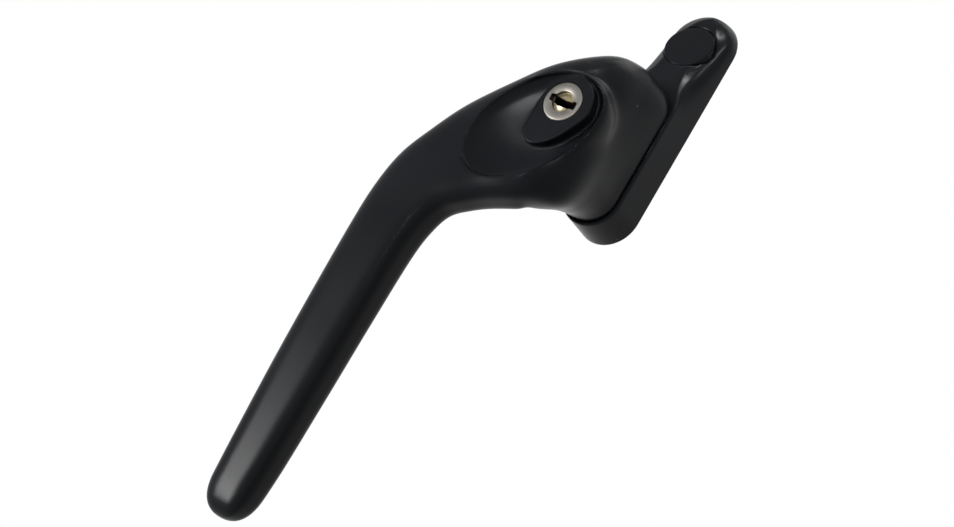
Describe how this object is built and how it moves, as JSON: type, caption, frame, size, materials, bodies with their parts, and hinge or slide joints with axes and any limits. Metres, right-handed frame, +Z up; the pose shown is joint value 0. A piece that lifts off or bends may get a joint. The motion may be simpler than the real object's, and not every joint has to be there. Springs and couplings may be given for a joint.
{
  "type": "window handle",
  "caption": "Offset (cranked) key-locking window handle in satin black: slim base plate with screw cap, turning lever head with scooped lock dish and a long tapering grip.",
  "frame": {"origin": "on the turning axis of the lever, at the back face of the base plate, midway between the two fixing screws", "axes": "+X to the right as seen from the room, +Z up along the base plate, -Y out of the sash into the room"},
  "size_m": [0.0458, 0.0447, 0.1712],
  "materials": {
    "black_coat": "satin powder coat",
    "black_cap": "satin",
    "brass": "machined",
    "satin_nickel": "satin nickel plate",
    "zinc_steel": "bright zinc plate",
    "spring_steel": "plain"
  },
  "bodies": {
    "plate": {"base_plate": "black_coat", "screw_cap": "black_cap", "pivot_bush": "brass", "back_plate": "zinc_steel", "upper_detent_ball": "zinc_steel", "lower_detent_ball": "zinc_steel", "upper_detent_spring": "spring_steel", "lower_detent_spring": "spring_steel"},
    "handle": {"lever": "black_coat", "wave_washer": "spring_steel", "retaining_ring": "spring_steel", "lock_barrel": "brass", "barrel_pin": "zinc_steel", "bolt_guide": "brass", "bolt_spring": "spring_steel"},
    "plug": {"lock_plug": "brass", "plug_face": "satin_nickel", "wafer_1": "brass", "wafer_2": "brass", "wafer_3": "brass", "wafer_4": "brass", "wafer_spring_1": "spring_steel", "wafer_spring_2": "spring_steel", "wafer_spring_3": "spring_steel", "wafer_spring_4": "spring_steel", "plug_clip": "spring_steel", "lock_cam": "zinc_steel"},
    "bolt": {"lock_bolt": "zinc_steel"}
  },
  "joints": [
    {"name": "lever_turn", "type": "hinge", "parent": "plate", "child": "handle", "pos_m": [0, 0, 0], "axis": [0, 1, 0], "range_deg": [0, 90]},
    {"name": "key_turn", "type": "hinge", "parent": "handle", "child": "plug", "pos_m": [-0.0016, -0.03, -0.0139], "axis": [0, 1, 0], "range_deg": [0, 90]},
    {"name": "bolt_slide", "type": "slide", "parent": "handle", "child": "bolt", "axis": [0, 1, 0], "range_m": [0, 0.003], "deforming": ["bolt_spring"]}
  ],
  "couplings": [
    {"joint": "key_turn", "follows": "bolt_slide", "rad_per_m": 523.6}
  ]
}
